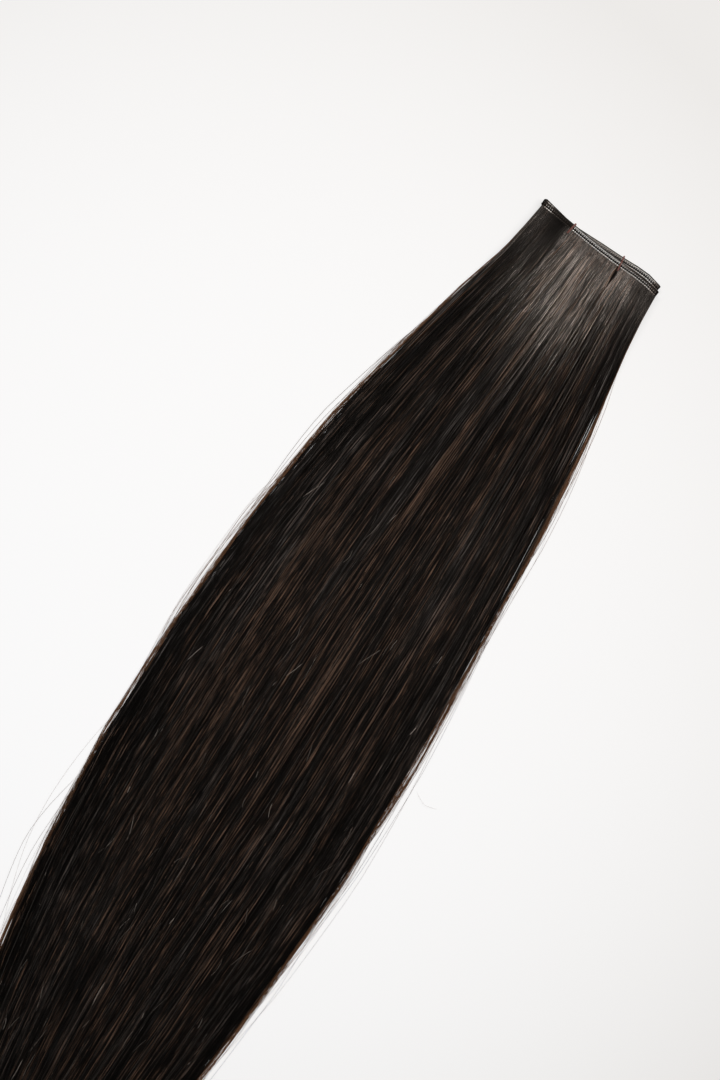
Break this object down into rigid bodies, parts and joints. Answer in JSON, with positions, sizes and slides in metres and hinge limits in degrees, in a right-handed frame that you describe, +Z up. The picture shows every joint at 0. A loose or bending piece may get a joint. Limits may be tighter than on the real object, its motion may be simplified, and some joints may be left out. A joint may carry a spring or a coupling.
{
  "type": "hair weft",
  "caption": "Weft of long straight dark hair hanging from a sewn band that is folded into layers and held by thread ties, lying flat.",
  "frame": {"origin": "middle of the weft's box, on the surface it lies on", "axes": "+X along the sewn band, +Y from the tips towards the band, +Z up from the surface"},
  "size_m": [0.1638, 0.6054, 0.0091],
  "materials": {
    "hair": "straight off-black human hair with a soft sheen",
    "band": "hair ends sewn over with fine clear and dark thread",
    "tie_thread": "twisted reddish-brown thread"
  },
  "bodies": {
    "root": {"weft_band": "band", "hair_layer_1": "hair", "hair_layer_2": "hair", "hair_layer_3": "hair", "hair_layer_4": "hair", "tie_left": "tie_thread", "tie_right": "tie_thread"}
  },
  "joints": []
}
